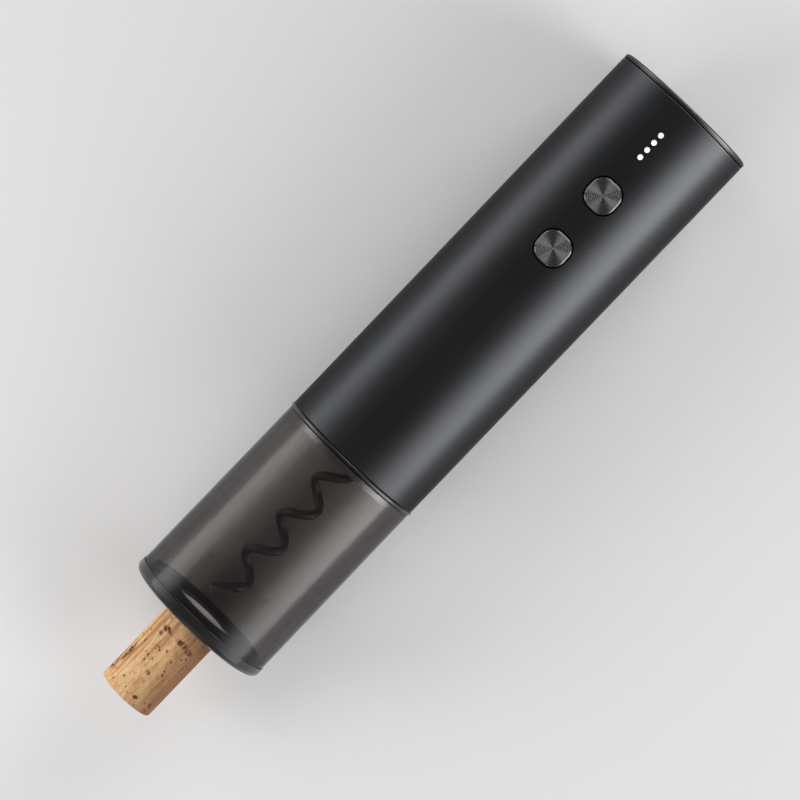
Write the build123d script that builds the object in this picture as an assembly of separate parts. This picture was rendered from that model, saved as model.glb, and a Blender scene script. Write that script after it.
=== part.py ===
"""Rechargeable electric wine opener with a freshly drawn cork in its mouth.

Every piece is modelled upright: Z runs up the opener's axis from the lower face of the base
ring, the buttons face -Y, and X is to the right. export() then lays the opener on its back,
axis along +X with the top cap at the far end, so that it rests on the base ring and the
cap's edge with its buttons up. All lengths are millimetres.
"""
import os
from math import acos, cos, pi, radians, sin, sqrt, tan

from build123d import *

# ---------------------------------------------------------------- outer stack, bottom to top
BASE_RING_HEIGHT = 4.4
SLEEVE_LENGTH = 65.8
BEAD_HEIGHT = 1.75
HOUSING_LENGTH = 147.3
CAP_THICKNESS = 1.85

BODY_RADIUS = 25.0
BASE_RING_PROUD = 0.25  # beyond the sleeve's foot
BASE_RING_WIDTH = 5.9
BASE_RING_BEVEL_WIDTH = 2.1
BASE_RING_BEVEL_HEIGHT = 1.7
BASE_RING_LIP_WIDTH = 0.6
BASE_RING_LIP_HEIGHT = 0.8
SLEEVE_SETBACK = 0.05   # the sleeve's top behind the housing
SLEEVE_FLARE = 0.3      # the sleeve's foot beyond its top
SLEEVE_WALL = 2.25
BEAD_PROUD = 0.3
BEAD_EDGE = 0.2
HOUSING_WALL = 1.8
HOUSING_EDGE = 0.15
CAP_EDGE = 0.45
SEAM_WIDTH = 0.35       # the shadow line at each seam of the outside
SEAM_DEPTH = 0.6

# ---------------------------------------------------------------- clearances
SLIP_FIT = 0.1          # a spigot, plate or insert in the bore that holds it
SHAFT_FIT = 0.03        # a shaft in its bearing, a pin or screw in its hole
BUTTON_GAP = 0.55       # around a button in the housing's opening
RUNNING_GAP = 0.3       # between faces that turn past each other
FLANK_CLEARANCE = 0.08  # taken off every gear tooth's thickness
OVERCUT = 1.0           # how far a cutting tool runs past the face it cuts

# ---------------------------------------------------------------- collar between sleeve and housing
SPIGOT_WALL = 1.5
LOWER_SPIGOT_DEPTH = 2.0
UPPER_SPIGOT_DEPTH = 4.4
CEILING_DROP = 1.2      # how far the chamber's ceiling hangs below the sleeve's upper end
HUB_RIM = 3.6           # the hub's radius beyond the worm's coil
HUB_HEIGHT = 2.3
HUB_CLEARANCE = 0.5
CAP_SKIRT_DEPTH = 3.8

# ---------------------------------------------------------------- mouth
STOP_PLATE = 1.0
STOP_RECESS_RADIUS = 15.6
STOP_PASSAGE = 1.25     # around the cork in the stop plate's hole
GUIDE_LENGTH = 16.1
GUIDE_PASSAGE = 0.85    # around the cork in the guide's bore
GUIDE_WALL = 1.8
GUIDE_FLANGE = 1.2
GUIDE_RIBS = 8
GUIDE_RIB_WIDTH = 1.0
CORK_CLEARANCE = 0.2    # between the cork and the guide's ribs

# ---------------------------------------------------------------- cork
CORK_RADIUS = 9.75
CORK_LENGTH = 35.6
CORK_OUT = 31.8         # how far the cork stands out below the base ring
CORK_EDGE = 0.8
CORK_TRAVEL = 37.5      # how far the worm draws the cork up

# ---------------------------------------------------------------- worm
WORM_DIAMETER = 10.8
WORM_WIRE_RADIUS = 1.5
WORM_PITCH = 15.7
WORM_TIP_HEIGHT = 9.95
WORM_TIP_RADIUS = 0.2
WORM_TAPER_TURNS = 0.4
WORM_PHASE_HEIGHT = 35.55  # a height at which the coil passes the opener's right-hand side
CHANNEL_CLEARANCE = 0.35

# ---------------------------------------------------------------- buttons and indicator lights
BUTTON_SIZE = 10.6
BUTTON_CORNER = 4.3
BUTTON_BEVEL = 0.45
BUTTON_PROUD = 0.65
BUTTON_FLANGE_SIZE = 12.8
BUTTON_FLANGE_THICKNESS = 1.0
BUTTON_STEM_RADIUS = 1.4
BUTTON_TRAVEL = 0.5
BUTTON_DROPS = {"lower": 57.7, "upper": 35.8}  # from the housing's upper end
LIGHT_COUNT = 4
LIGHT_PITCH = 3.0
LIGHT_RADIUS = 0.85
FIRST_LIGHT_DROP = 19.5
LIGHT_BAR_WIDTH = 3.2
LIGHT_BAR_THICKNESS = 1.0

# ---------------------------------------------------------------- gearbox
GEAR_MODULE = 1.0
PRESSURE_ANGLE = radians(25)
ADDENDUM = 0.8
DEDENDUM = 1.0
SUN_TEETH = 9
PLANET_TEETH = 12
RING_TEETH = SUN_TEETH + 2 * PLANET_TEETH
PLANET_COUNT = 3
PLANET_WIDTH = 4.8
CARRIER_RIM = 1.5       # around the planets' pins
CARRIER_THICKNESS = 1.9
PIN_RADIUS = 1.5
RING_GEAR_GAP = 0.6     # between the ring gear and the collar's upper spigot
FRONT_PLATE_THICKNESS = 4.0
MOTOR_PLATE_THICKNESS = 2.0
BEARING_RADIUS = 6.5
BEARING_WIDTH = 3.5
OUTPUT_SHAFT_RADIUS = 3.0
SHAFT_SOCKET_DEPTH = 1.5
GEARBOX_SCREWS = 4

# ---------------------------------------------------------------- motor
MOTOR_RADIUS = 13.85
MOTOR_LENGTH = 38.0
MOTOR_CAN_WALL = 1.0
MOTOR_FACE = 1.2
MOTOR_BOSS_RADIUS = 5.0
MOTOR_BOSS_HEIGHT = 1.8
MOTOR_CAP_HEIGHT = 4.0
MOTOR_SHAFT_RADIUS = 1.15
ARMATURE_RADIUS = 10.6
ARMATURE_LENGTH = 25.0
COMMUTATOR_RADIUS = 3.5
COMMUTATOR_LENGTH = 4.0
MAGNET_THICKNESS = 1.5
MAGNET_ARC = radians(130)
MOTOR_SCREW_SPACING = 16.0
TERMINAL_WIDTH = 2.8
TERMINAL_THICKNESS = 0.5
TERMINAL_HEIGHT = 3.2
TERMINAL_SPACING = 14.0
SADDLE_INSET = 6.0      # from the motor's ends to the chassis's saddles

# ---------------------------------------------------------------- chassis, battery and boards
CHASSIS_WALL = 1.5
CHASSIS_LIFT = 0.6      # clear height between the motor plate and the chassis
CHASSIS_TOP_GAP = 0.5
RIB_THICKNESS = 1.6
PARTING_GAP = 0.1
BATTERY_RADIUS = 9.15
BATTERY_LENGTH = 65.0
BATTERY_SEAT = 2.05     # between the cell and the chassis wall behind it
BATTERY_NUB_RADIUS = 2.8
BATTERY_NUB_HEIGHT = 1.2
BATTERY_GAP = 0.15
BATTERY_EDGE = 0.5
TAB_THICKNESS = 0.3
TAB_WIDTH = 6.0
BOARD_THICKNESS = 1.2
BOARD_WIDTH = 23.0
BOARD_SETBACK = 7.8     # from the housing's front to the control board's front face
BOARD_DROP = 5.8        # from the housing's upper end to the board's
BOARD_LENGTH = 62.0
BOARD_SCREW_INSET = 3.0
SWITCH_SIZE = 6.0
SWITCH_BODY_HEIGHT = 1.6
SWITCH_PLUNGER_HEIGHT = 0.9
SWITCH_PLUNGER_RADIUS = 1.5
SWITCH_SLACK = 0.15
LED_WIDTH = 1.6
LED_LENGTH = 0.8
LED_HEIGHT = 0.8
LED_GAP = 0.3
CHIP_SIZE = 7.0
CHIP_HEIGHT = 1.2
CHIP_PLACE = 38.0       # these places are heights above the board's lower end
DRIVER_WIDTH = 6.0
DRIVER_LENGTH = 5.0
DRIVER_HEIGHT = 1.6
DRIVER_SPACING = 8.5
DRIVER_PLACE = 20.0
COIL_SIZE = 6.0
COIL_HEIGHT = 3.0
COIL_PLACE = 50.0
PLUG_WIDTH = 8.0
PLUG_LENGTH = 4.5
PLUG_HEIGHT = 5.0
PLUG_PLACE = 6.0
CHARGE_BOARD_GAP = 0.6
CHARGE_BOARD_FRONT = 10.0
USB_WIDTH = 9.0
USB_HEIGHT = 3.2
USB_LENGTH = 7.4
USB_WALL = 0.35
USB_SETBACK = 0.2       # the socket's mouth behind the housing's face
USB_TONGUE_WIDTH = 6.6
USB_TONGUE_THICKNESS = 0.7
USB_TONGUE_SETBACK = 0.9
USB_BACK_WALL = 1.5
USB_SLOT_GAP = 0.25
WINDOW_WIDTH = 15.0
LEAD_RADIUS = 0.6
LEAD_BEND = 2.0
LEAD_SPACING = 2.0      # between the leads at the plug
LEAD_DEPTH = 4.0        # from the axis forward to where the leads run
LEAD_KNEE = 3.0         # from a lead's soldered end to its first bend

# ---------------------------------------------------------------- screws: shank, head radius and height
SCREW_RADIUS = 1.0
SCREW_HEAD_RADIUS = 1.9
SCREW_HEAD_HEIGHT = 1.1
CHASSIS_BOSS_RADIUS = 2.6
CHASSIS_BOSS_GAP = 1.5  # between a boss and the chassis wall beside it
CHASSIS_BOSS_ROOT = 1.0  # how far a boss runs into the chassis wall
CHASSIS_BOSS_INSET = 5.0
CHASSIS_SCREW_LENGTH = 11.0
STANDOFF_RADIUS = 1.9
STANDOFF_SPACING = 18.6
STANDOFF_LENGTH = 2.3

# ---------------------------------------------------------------- heights worked out from the stack
sleeve_top = BASE_RING_HEIGHT + SLEEVE_LENGTH
housing_bottom = sleeve_top + BEAD_HEIGHT
housing_top = housing_bottom + HOUSING_LENGTH
body_top = housing_top + CAP_THICKNESS
ceiling = sleeve_top - CEILING_DROP
housing_bore = BODY_RADIUS - HOUSING_WALL
sleeve_top_radius = BODY_RADIUS - SLEEVE_SETBACK
sleeve_bottom_radius = sleeve_top_radius + SLEEVE_FLARE
sleeve_bore = sleeve_top_radius - SLEEVE_WALL
base_ring_radius = sleeve_bottom_radius + BASE_RING_PROUD
base_ring_bore = base_ring_radius - BASE_RING_WIDTH
bead_radius = BODY_RADIUS + BEAD_PROUD
hub_radius = WORM_DIAMETER / 2 + HUB_RIM
guide_bore = CORK_RADIUS + GUIDE_PASSAGE
button_face = BODY_RADIUS + BUTTON_PROUD
button_heights = {place: housing_top - drop for place, drop in BUTTON_DROPS.items()}

front_plate_top = housing_bottom + FRONT_PLATE_THICKNESS
stage_two_base = front_plate_top + 2 * RUNNING_GAP
stage_two_gears = stage_two_base + CARRIER_THICKNESS + RUNNING_GAP
stage_one_base = stage_two_gears + PLANET_WIDTH + 2 * RUNNING_GAP
stage_one_gears = stage_one_base + CARRIER_THICKNESS + RUNNING_GAP
motor_plate_bottom = stage_one_gears + PLANET_WIDTH + 3 * RUNNING_GAP
motor_bottom = motor_plate_bottom + MOTOR_PLATE_THICKNESS
motor_top = motor_bottom + MOTOR_LENGTH

sun_radius = GEAR_MODULE * SUN_TEETH / 2
planet_radius = GEAR_MODULE * PLANET_TEETH / 2
planet_orbit = sun_radius + planet_radius
carrier_radius = planet_orbit + PIN_RADIUS + CARRIER_RIM
ring_root = GEAR_MODULE * (RING_TEETH / 2 + DEDENDUM)
ring_gear_radius = housing_bore - SLIP_FIT - SPIGOT_WALL - RING_GEAR_GAP
gearbox_screw_circle = (ring_root + ring_gear_radius) / 2

chassis_radius = housing_bore - SLIP_FIT
chassis_bore = chassis_radius - CHASSIS_WALL
chassis_bottom = motor_bottom + CHASSIS_LIFT
chassis_top = housing_top - CAP_SKIRT_DEPTH - CHASSIS_TOP_GAP
battery_offset = chassis_bore - BATTERY_RADIUS - BATTERY_SEAT
boss_edge = chassis_bore - CHASSIS_BOSS_GAP
boss_offset = boss_edge - CHASSIS_BOSS_RADIUS
boss_reach = sqrt(chassis_bore**2 - boss_edge**2) + CHASSIS_BOSS_ROOT
battery_shelf = motor_top + TERMINAL_HEIGHT + RUNNING_GAP
battery_bottom = battery_shelf + RIB_THICKNESS + TAB_THICKNESS
battery_top = battery_bottom + BATTERY_LENGTH
charge_shelf = battery_top + BATTERY_NUB_HEIGHT + TAB_THICKNESS
charge_board_bottom = charge_shelf + RIB_THICKNESS
usb_bottom = charge_board_bottom + BOARD_THICKNESS
usb_height = usb_bottom + USB_HEIGHT / 2
charge_board_radius = chassis_bore - CHARGE_BOARD_GAP
board_top = housing_top - BOARD_DROP
board_bottom = board_top - BOARD_LENGTH
board_depth = BODY_RADIUS - BOARD_SETBACK
usb_mouth = BODY_RADIUS - USB_SETBACK
flange_front = sqrt(housing_bore**2 - (BUTTON_FLANGE_SIZE / 2) ** 2) - SLIP_FIT
switch_tip = board_depth + SWITCH_BODY_HEIGHT + SWITCH_PLUNGER_HEIGHT

opener_length = body_top + CORK_OUT
LYING = Plane(
    origin=(CORK_OUT - opener_length / 2, 0, base_ring_radius),
    x_dir=(0, -1, 0),
    z_dir=(1, 0, 0),
)


# ================================================================ helpers
def export(name, *solids):
    """Lay the piece down with the rest of the opener and write it as one node."""
    placed = [LYING.location * solid for solid in solids]
    shape = placed[0] if len(placed) == 1 else Compound(children=placed)
    export_step(shape, f"parts/{name}.step")


def post(radius, bottom, top, x=0.0, y=0.0):
    """A cylinder standing between two heights."""
    return Pos(x, y, (bottom + top) / 2) * Cylinder(radius, top - bottom)


def through(radius, bottom, top, x=0.0, y=0.0):
    """A cutter for a hole from one height to another, run past both faces."""
    return post(radius, bottom - OVERCUT, top + OVERCUT, x, y)


def pocket(radius, floor, mouth, x=0.0, y=0.0):
    """A cutter for a blind hole between its floor and its mouth, run past the mouth only."""
    past = OVERCUT if mouth > floor else -OVERCUT
    return post(radius, min(floor, mouth + past), max(floor, mouth + past), x, y)


def tube(outer, inner, bottom, top, x=0.0, y=0.0):
    """A round tube standing between two heights."""
    return post(outer, bottom, top, x, y) - through(inner, bottom, top, x, y)


def rod(radius, front, back, x, z):
    """A cylinder along Y; front and back are its ends' Y places."""
    return Pos(x, (front + back) / 2, z) * Rot(90, 0, 0) * Cylinder(radius, back - front)


def block(width, depth, height, x, y, z):
    """A box by its size and centre."""
    return Pos(x, y, z) * Box(width, depth, height)


def turned(*points):
    """A solid of revolution about the opener's axis from (radius, height) points."""
    return revolve(Plane.XZ * Polygon(*points, align=None), Axis.Z)


def prism(sketch, near, far, x=0.0, z=0.0):
    """A flat sketch pushed forward from one distance in front of the axis to another."""
    return extrude(Plane.XZ.offset(near) * Pos(x, z) * sketch, far - near)


def on_circle(radius, count, start=0.0):
    """Evenly spaced (x, y) places on a circle about the axis."""
    angles = [start + 2 * pi * i / count for i in range(count)]
    return [(radius * cos(a), radius * sin(a)) for a in angles]


# ================================================================ outer shell
def make_top_cap():
    """Flat metal cap with a bevelled edge and a skirt that plugs into the housing."""
    skirt = housing_bore - SLIP_FIT
    return turned(
        (0, body_top),
        (BODY_RADIUS - CAP_EDGE, body_top),
        (BODY_RADIUS, body_top - CAP_EDGE),
        (BODY_RADIUS, housing_top + SEAM_WIDTH),
        (BODY_RADIUS - SEAM_DEPTH, housing_top + SEAM_WIDTH),
        (BODY_RADIUS - SEAM_DEPTH, housing_top),
        (skirt, housing_top),
        (skirt, housing_top - CAP_SKIRT_DEPTH),
        (skirt - SPIGOT_WALL, housing_top - CAP_SKIRT_DEPTH),
        (skirt - SPIGOT_WALL, housing_top),
        (0, housing_top),
    )


def make_main_housing():
    """Drawn aluminium tube with openings for the buttons, the lights and the charging port."""
    shell = turned(
        (housing_bore, housing_bottom),
        (BODY_RADIUS - HOUSING_EDGE, housing_bottom),
        (BODY_RADIUS, housing_bottom + HOUSING_EDGE),
        (BODY_RADIUS, housing_top - HOUSING_EDGE),
        (BODY_RADIUS - HOUSING_EDGE, housing_top),
        (housing_bore, housing_top),
    )
    opening = RectangleRounded(
        BUTTON_SIZE + 2 * BUTTON_GAP, BUTTON_SIZE + 2 * BUTTON_GAP, BUTTON_CORNER + BUTTON_GAP
    )
    for height in button_heights.values():
        shell -= prism(opening, 0, BODY_RADIUS + OVERCUT, 0, height)
    for height in light_heights():
        shell -= rod(LIGHT_RADIUS + SHAFT_FIT, -BODY_RADIUS - OVERCUT, 0, 0, height)
    port = SlotOverall(USB_WIDTH + 2 * USB_SLOT_GAP, USB_HEIGHT + 2 * USB_SLOT_GAP)
    return shell - prism(port, -BODY_RADIUS - OVERCUT, 0, 0, usb_height)


def make_sleeve_collar():
    """Collar with a bead between sleeve and housing, a spigot each way and the chamber's ceiling."""
    lower = sleeve_bore - SLIP_FIT
    upper = housing_bore - SLIP_FIT
    bead_bottom = sleeve_top + SEAM_WIDTH
    bead_top = housing_bottom - SEAM_WIDTH
    return turned(
        (hub_radius + HUB_CLEARANCE, ceiling),
        (lower - SPIGOT_WALL, ceiling),
        (lower - SPIGOT_WALL, sleeve_top - LOWER_SPIGOT_DEPTH),
        (lower, sleeve_top - LOWER_SPIGOT_DEPTH),
        (lower, sleeve_top),
        (sleeve_top_radius - SEAM_DEPTH, sleeve_top),
        (sleeve_top_radius - SEAM_DEPTH, bead_bottom),
        (bead_radius - BEAD_EDGE, bead_bottom),
        (bead_radius, bead_bottom + BEAD_EDGE),
        (bead_radius, bead_top - BEAD_EDGE),
        (bead_radius - BEAD_EDGE, bead_top),
        (BODY_RADIUS - SEAM_DEPTH, bead_top),
        (BODY_RADIUS - SEAM_DEPTH, housing_bottom),
        (upper, housing_bottom),
        (upper, housing_bottom + UPPER_SPIGOT_DEPTH),
        (upper - SPIGOT_WALL, housing_bottom + UPPER_SPIGOT_DEPTH),
        (upper - SPIGOT_WALL, housing_bottom),
        (hub_radius + HUB_CLEARANCE, housing_bottom),
    )


def make_clear_sleeve():
    """Smoked clear tube round the cork chamber, a little wider at its foot."""
    return turned(
        (sleeve_bore, BASE_RING_HEIGHT),
        (sleeve_bottom_radius, BASE_RING_HEIGHT),
        (sleeve_top_radius, sleeve_top),
        (sleeve_bore, sleeve_top),
    )


def make_base_ring():
    """Ring that closes the sleeve's foot, bevelled where it meets the table."""
    lip = base_ring_bore - BASE_RING_LIP_WIDTH
    foot = base_ring_radius - BASE_RING_BEVEL_WIDTH
    seam_floor = sleeve_bottom_radius - SEAM_DEPTH
    return turned(
        (lip, 0),
        (foot, 0),
        (foot + 2 * BASE_RING_BEVEL_WIDTH / 3, BASE_RING_BEVEL_HEIGHT / 3),
        (base_ring_radius, BASE_RING_BEVEL_HEIGHT),
        (base_ring_radius, BASE_RING_HEIGHT - SEAM_WIDTH),
        (seam_floor, BASE_RING_HEIGHT - SEAM_WIDTH),
        (seam_floor, BASE_RING_HEIGHT),
        (base_ring_bore, BASE_RING_HEIGHT),
        (base_ring_bore, BASE_RING_LIP_HEIGHT),
        (lip, BASE_RING_LIP_HEIGHT),
    )


def make_bottle_stop():
    """Insert whose recess centres the bottle's lip and whose plate the lip stops against."""
    rim = base_ring_bore - SLIP_FIT
    plate = BASE_RING_HEIGHT - STOP_PLATE
    return turned(
        (STOP_RECESS_RADIUS, BASE_RING_LIP_HEIGHT),
        (rim, BASE_RING_LIP_HEIGHT),
        (rim, BASE_RING_HEIGHT),
        (CORK_RADIUS + STOP_PASSAGE, BASE_RING_HEIGHT),
        (CORK_RADIUS + STOP_PASSAGE, plate),
        (STOP_RECESS_RADIUS, plate),
    )


def make_cork_guide():
    """Smoked inner tube with ribs that keep the cork from turning with the worm."""
    bottom = BASE_RING_HEIGHT
    top = bottom + GUIDE_LENGTH
    guide = tube(guide_bore + GUIDE_WALL, guide_bore, bottom, top)
    guide += tube(sleeve_bore - SLIP_FIT, guide_bore, bottom, bottom + GUIDE_FLANGE)
    rib_tip = CORK_RADIUS + CORK_CLEARANCE
    rib_reach = guide_bore + GUIDE_WALL / 2 - rib_tip
    rib = block(rib_reach, GUIDE_RIB_WIDTH, GUIDE_LENGTH, rib_tip + rib_reach / 2, 0, (bottom + top) / 2)
    for i in range(GUIDE_RIBS):
        guide += Rot(0, 0, 360 * (i + 0.5) / GUIDE_RIBS) * rib
    return guide


# ================================================================ worm and cork
worm_coil_radius = WORM_DIAMETER / 2 - WORM_WIRE_RADIUS


def coil_angle(height):
    """Direction, in degrees, in which the worm's wire lies at a height."""
    return 360 * (height - WORM_PHASE_HEIGHT) / WORM_PITCH


def coil_path(bottom, top):
    """Right-handed helix of the worm's wire between two heights."""
    helix = Helix(WORM_PITCH, top - bottom, worm_coil_radius)
    return Pos(0, 0, bottom) * Rot(0, 0, coil_angle(bottom)) * helix


def wire_section(path, at, radius):
    """Circle across the wire at a fraction of a path."""
    return Plane(path @ at, z_dir=path % at) * Circle(radius)


def make_worm():
    """Round-wire screw with a tapering point, cut off flat where it enters its hub."""
    taper_top = WORM_TIP_HEIGHT + WORM_TAPER_TURNS * WORM_PITCH
    body = coil_path(taper_top, ceiling + 2 * WORM_WIRE_RADIUS)
    wire = sweep(wire_section(body, 0, WORM_WIRE_RADIUS), body, is_frenet=True)
    wire -= post(WORM_DIAMETER, ceiling, ceiling + WORM_PITCH)
    point = coil_path(WORM_TIP_HEIGHT, taper_top)
    ends = [
        wire_section(point, 0, WORM_TIP_RADIUS),
        wire_section(point, 1, WORM_WIRE_RADIUS),
    ]
    return wire + sweep(ends, point, is_frenet=True, multisection=True)


def make_worm_hub():
    """Disc flush with the chamber's ceiling that carries the worm on the output shaft."""
    hub = post(hub_radius, ceiling, ceiling + HUB_HEIGHT)
    socket_floor = ceiling + HUB_HEIGHT - SHAFT_SOCKET_DEPTH
    return hub - pocket(OUTPUT_SHAFT_RADIUS + SHAFT_FIT, socket_floor, ceiling + HUB_HEIGHT)


def make_cork():
    """Cork with soft edges and the helical channel that the worm leaves in it."""
    bottom = -CORK_OUT
    top = bottom + CORK_LENGTH
    cork = post(CORK_RADIUS, bottom, top)
    cork = fillet(cork.edges().filter_by(GeomType.CIRCLE), CORK_EDGE)
    channel_floor = WORM_TIP_HEIGHT - CORK_TRAVEL - CHANNEL_CLEARANCE
    path = coil_path(channel_floor, top + 2 * WORM_WIRE_RADIUS)
    channel_radius = WORM_WIRE_RADIUS + CHANNEL_CLEARANCE
    return cork - sweep(wire_section(path, 0, channel_radius), path, is_frenet=True)


# ================================================================ buttons and lights
def light_heights():
    """Heights of the indicator lights."""
    return [housing_top - FIRST_LIGHT_DROP + i * LIGHT_PITCH for i in range(LIGHT_COUNT)]


def make_button(height):
    """Push button: bevelled metal face, shank through the wall, flange behind it and a stem."""
    face = RectangleRounded(BUTTON_SIZE, BUTTON_SIZE, BUTTON_CORNER)
    button = prism(face, flange_front, button_face, 0, height)
    front_edges = button.faces().sort_by(Axis.Y)[0].edges()
    button = chamfer(front_edges, BUTTON_BEVEL)
    flange_back = flange_front - BUTTON_FLANGE_THICKNESS
    flange = RectangleRounded(BUTTON_FLANGE_SIZE, BUTTON_FLANGE_SIZE, BUTTON_CORNER)
    button += prism(flange, flange_back, flange_front, 0, height)
    stem_end = switch_tip + BUTTON_TRAVEL + SWITCH_SLACK
    return button + rod(BUTTON_STEM_RADIUS, -flange_back, -stem_end, 0, height)


def make_indicator_light_pipe():
    """Clear moulding: a bar behind the wall with one pin for each indicator light."""
    heights = light_heights()
    middle = (heights[0] + heights[-1]) / 2
    bar_back = housing_bore - 2 * LIGHT_BAR_THICKNESS - SLIP_FIT
    length = heights[-1] - heights[0] + LIGHT_BAR_WIDTH
    bar = SlotOverall(length, LIGHT_BAR_WIDTH, rotation=90)
    pipe = prism(bar, bar_back, bar_back + LIGHT_BAR_THICKNESS, 0, middle)
    inner_end = board_depth + LED_HEIGHT + LED_GAP
    for height in heights:
        pipe += rod(LIGHT_RADIUS, -BODY_RADIUS, -inner_end, 0, height)
    return pipe


# ================================================================ gears
def involute(angle):
    """The involute function."""
    return tan(angle) - angle


def polar(radius, angle):
    """A point of a gear's outline."""
    return (radius * cos(angle), radius * sin(angle))


def tooth_half_angle(teeth, radius, thickness):
    """Half the angle that a tooth of the given pitch thickness takes at a radius."""
    pitch = GEAR_MODULE * teeth / 2
    base = pitch * cos(PRESSURE_ANGLE)
    pressure = acos(min(1.0, base / radius))
    return thickness / (2 * pitch) + involute(PRESSURE_ANGLE) - involute(pressure)


def gear_outline(teeth, root, tip, thickness, start):
    """Closed outline of involute teeth between a root and a tip radius."""
    pitch = GEAR_MODULE * teeth / 2
    half = {r: tooth_half_angle(teeth, r, thickness) for r in (root, pitch, tip)}
    edges = []
    for i in range(teeth):
        middle = start + 2 * pi * i / teeth
        following = start + 2 * pi * (i + 1) / teeth
        rising = [polar(r, middle - half[r]) for r in (root, pitch, tip)]
        falling = [polar(r, middle + half[r]) for r in (tip, pitch, root)]
        edges.append(ThreePointArc(*rising))
        edges.append(Line(rising[-1], falling[0]))
        edges.append(ThreePointArc(*falling))
        edges.append(Line(falling[-1], polar(root, following - half[root])))
    return make_face(edges)


def make_gear(teeth, width, start=0.0):
    """External spur gear standing on the XY plane, its first tooth at the start angle."""
    pitch = GEAR_MODULE * teeth / 2
    thickness = pi * GEAR_MODULE / 2 - FLANK_CLEARANCE
    root = pitch - DEDENDUM * GEAR_MODULE
    tip = pitch + ADDENDUM * GEAR_MODULE
    return extrude(gear_outline(teeth, root, tip, thickness, start), width)


def make_ring_gear():
    """Fixed gearbox case with the internal teeth that both stages run in."""
    height = motor_plate_bottom - front_plate_top
    pitch = GEAR_MODULE * RING_TEETH / 2
    space = pi * GEAR_MODULE / 2 + FLANK_CLEARANCE
    tip = pitch - ADDENDUM * GEAR_MODULE
    root = pitch + DEDENDUM * GEAR_MODULE
    spaces = gear_outline(RING_TEETH, tip, root, space, pi / RING_TEETH)
    ring = Circle(ring_gear_radius) - spaces
    for x, y in screw_places():
        ring -= Pos(x, y) * Circle(SCREW_RADIUS + SHAFT_FIT)
    return Pos(0, 0, front_plate_top) * extrude(ring, height)


def planet_angles():
    """Directions of the planets round the carrier."""
    return [2 * pi * i / PLANET_COUNT for i in range(PLANET_COUNT)]


def make_planet(angle, bottom):
    """Planet gear on its pin, turned so that its teeth mesh with the sun and the ring."""
    start = angle + pi + (pi + SUN_TEETH * angle) / PLANET_TEETH
    planet = make_gear(PLANET_TEETH, PLANET_WIDTH, start)
    planet -= through(PIN_RADIUS + SHAFT_FIT, 0, PLANET_WIDTH)
    return Pos(planet_orbit * cos(angle), planet_orbit * sin(angle), bottom) * planet


def make_carrier(bottom, bore):
    """Round plate that carries the planets' pins."""
    plate = tube(carrier_radius, bore, bottom, bottom + CARRIER_THICKNESS)
    for x, y in on_circle(planet_orbit, PLANET_COUNT):
        plate -= through(PIN_RADIUS + SHAFT_FIT, bottom, bottom + CARRIER_THICKNESS, x, y)
    return plate


def make_stage_one_carrier():
    """First stage's carrier with the second stage's sun gear on its underside."""
    plate = make_carrier(stage_one_base, MOTOR_SHAFT_RADIUS)
    length = stage_one_base - stage_two_gears
    sun = make_gear(SUN_TEETH, length) - through(MOTOR_SHAFT_RADIUS, 0, length)
    return plate + Pos(0, 0, stage_two_gears) * sun


def make_planet_pins(carrier_bottom):
    """Pins pressed through a carrier, one for each planet."""
    top = carrier_bottom + CARRIER_THICKNESS + RUNNING_GAP + PLANET_WIDTH
    return [post(PIN_RADIUS, carrier_bottom, top, x, y) for x, y in on_circle(planet_orbit, PLANET_COUNT)]


def make_output_shaft():
    """Shaft from the second stage's carrier through the bearing into the worm's hub."""
    bottom = ceiling + HUB_HEIGHT - SHAFT_SOCKET_DEPTH
    return post(OUTPUT_SHAFT_RADIUS, bottom, stage_two_base + CARRIER_THICKNESS)


def make_output_bearing():
    """Sintered bronze bush in the gearbox's front plate."""
    bore = OUTPUT_SHAFT_RADIUS + SHAFT_FIT
    return tube(BEARING_RADIUS, bore, front_plate_top - BEARING_WIDTH, front_plate_top)


def screw_places():
    """Places of the long gearbox screws."""
    return on_circle(gearbox_screw_circle, GEARBOX_SCREWS, pi / GEARBOX_SCREWS)


def make_gearbox_front_plate():
    """Plate on the collar that holds the output bearing and the long screws' heads."""
    radius = housing_bore - SLIP_FIT - SPIGOT_WALL - SLIP_FIT
    plate = post(radius, housing_bottom, front_plate_top)
    plate -= through(OUTPUT_SHAFT_RADIUS + RUNNING_GAP, housing_bottom, front_plate_top)
    plate -= pocket(BEARING_RADIUS + SHAFT_FIT, front_plate_top - BEARING_WIDTH, front_plate_top)
    for x, y in screw_places():
        plate -= through(SCREW_RADIUS + SHAFT_FIT, housing_bottom, front_plate_top, x, y)
        head_top = housing_bottom + SCREW_HEAD_HEIGHT
        plate -= pocket(SCREW_HEAD_RADIUS + SHAFT_FIT, head_top, housing_bottom, x, y)
    return plate


def motor_screw_places():
    """Places of the two screws that hold the motor to its plate."""
    return [(0, -MOTOR_SCREW_SPACING / 2), (0, MOTOR_SCREW_SPACING / 2)]


def make_motor_plate():
    """Plate that closes the gearbox and carries the motor."""
    plate = post(ring_gear_radius, motor_plate_bottom, motor_bottom)
    plate -= through(MOTOR_BOSS_RADIUS + SLIP_FIT, motor_plate_bottom, motor_bottom)
    for x, y in screw_places() + motor_screw_places():
        plate -= through(SCREW_RADIUS + SHAFT_FIT, motor_plate_bottom, motor_bottom, x, y)
    for x, y in motor_screw_places():
        head_top = motor_plate_bottom + SCREW_HEAD_HEIGHT
        plate -= pocket(SCREW_HEAD_RADIUS + SHAFT_FIT, head_top, motor_plate_bottom, x, y)
    return plate


def make_screw(head_bottom, tip, x, y):
    """Flat-headed screw standing head down."""
    head = post(SCREW_HEAD_RADIUS, head_bottom, head_bottom + SCREW_HEAD_HEIGHT, x, y)
    return head + post(SCREW_RADIUS, head_bottom, tip, x, y)


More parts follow.
